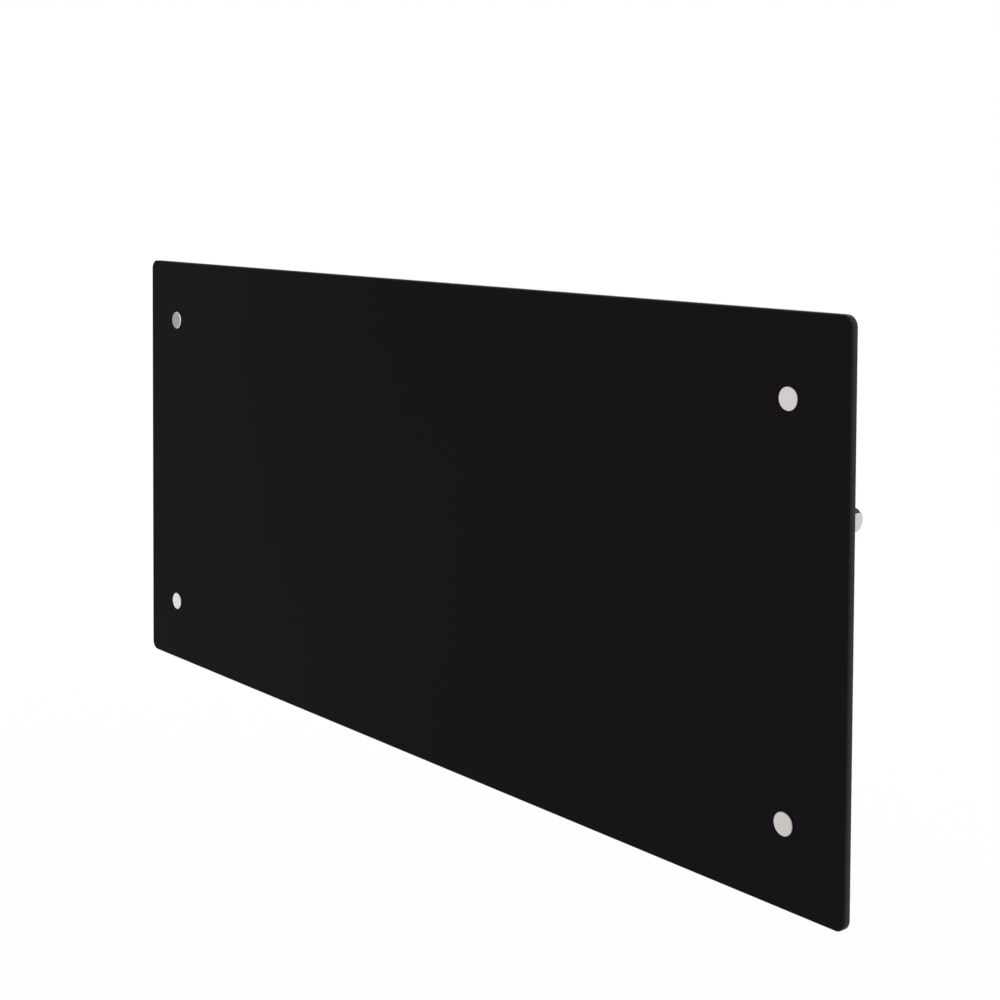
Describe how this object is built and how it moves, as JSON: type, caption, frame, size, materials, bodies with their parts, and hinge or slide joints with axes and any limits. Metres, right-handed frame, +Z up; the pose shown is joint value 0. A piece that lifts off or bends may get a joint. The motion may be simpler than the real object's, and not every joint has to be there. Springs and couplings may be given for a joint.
{
  "type": "glass panel heater",
  "caption": "Wall-hung electric panel heater with a black glass front held by round metal caps, a shallow steel casing with air grilles, a side knob and a hook-on wall bracket.",
  "frame": {"origin": "the middle of the wall screw pattern, on the wall behind the middle of the glass", "axes": "+X to the right along the panel as seen from the room, +Y into the wall, +Z up"},
  "size_m": [0.77, 0.0864, 0.34],
  "materials": {
    "black_glass": "glossy, opaque black",
    "satin_aluminium": "satin turned",
    "plated_steel": "zinc plated",
    "casing_paint": "matt powder coat",
    "bracket_paint": "matt powder coat",
    "bare_sheet": "galvanised",
    "black_plastic": "fine grain",
    "knob_plastic": "satin moulded",
    "index_plastic": "satin moulded",
    "white_nylon": "moulded",
    "silicone": "soft matt",
    "lead_sheath": "silicone sheath",
    "element_aluminium": "extruded",
    "ceramic": "glazed ceramic",
    "board_laminate": "solder mask",
    "component_plastic": "moulded",
    "terminal_brass": "plain"
  },
  "bodies": {
    "wall_bracket": {"lower_rail": "bracket_paint", "upper_rail": "bracket_paint", "left_upright": "bracket_paint", "right_upright": "bracket_paint", "bracket_rivets": "plated_steel"},
    "heater": {"glass_panel": "black_glass", "glass_caps": "satin_aluminium", "glass_front_washers": "white_nylon", "glass_bushes": "white_nylon", "glass_rear_washers": "silicone", "glass_nuts": "plated_steel", "left_glass_carrier": "casing_paint", "right_glass_carrier": "casing_paint", "front_shell": "casing_paint", "rear_cover": "casing_paint", "left_end_cap": "black_plastic", "right_end_cap": "black_plastic", "casing_screws": "plated_steel", "casing_rivets": "plated_steel", "outlet_grille": "black_plastic", "inlet_grille": "black_plastic", "left_hanger": "bare_sheet", "right_hanger": "bare_sheet", "hanger_pins": "plated_steel", "bumper_pads": "silicone", "heating_element": "element_aluminium", "element_terminals": "terminal_brass", "element_bushes": "ceramic", "left_element_support": "bare_sheet", "right_element_support": "bare_sheet", "thermal_cutout": "component_plastic", "heat_shield": "bare_sheet", "lead_grommets": "silicone", "power_board": "board_laminate", "board_spacers": "white_nylon", "board_screws": "plated_steel", "relay": "component_plastic", "power_supply": "component_plastic", "filter_capacitor": "component_plastic", "terminal_block": "component_plastic", "encoder_body": "component_plastic", "encoder_nut": "plated_steel", "control_board": "board_laminate", "switch_body": "black_plastic", "switch_terminals": "terminal_brass", "cord_gland": "black_plastic", "gland_nut": "black_plastic", "sensor_holder": "white_nylon", "room_sensor": "component_plastic", "element_leads": "lead_sheath", "switch_leads": "lead_sheath", "cutout_lead": "lead_sheath", "board_link": "lead_sheath", "sensor_lead": "lead_sheath", "lead_clips": "white_nylon"},
    "knob_plunger": {"encoder_plunger": "white_nylon"},
    "knob": {"encoder_shaft": "satin_aluminium", "control_knob": "knob_plastic", "knob_index": "index_plastic"},
    "rocker": {"switch_rocker": "component_plastic"}
  },
  "joints": [
    {"name": "heater_swing", "type": "hinge", "parent": "wall_bracket", "child": "heater", "pos_m": [0, -0.011, 0.095], "axis": [-1, 0, 0], "range_deg": [0, 20]},
    {"name": "knob_press", "type": "slide", "parent": "heater", "child": "knob_plunger", "axis": [-1, 0, 0], "range_m": [0, 0.0006], "stiffness_N_per_m": 2000},
    {"name": "knob_turn", "type": "hinge", "parent": "knob_plunger", "child": "knob", "pos_m": [0.351, -0.0535, 0.0515], "axis": [1, 0, 0], "continuous": true},
    {"name": "switch_rock", "type": "hinge", "parent": "heater", "child": "rocker", "pos_m": [0.347, -0.0535, -0.0105], "axis": [0, 1, 0], "range_deg": [0, 16]}
  ]
}
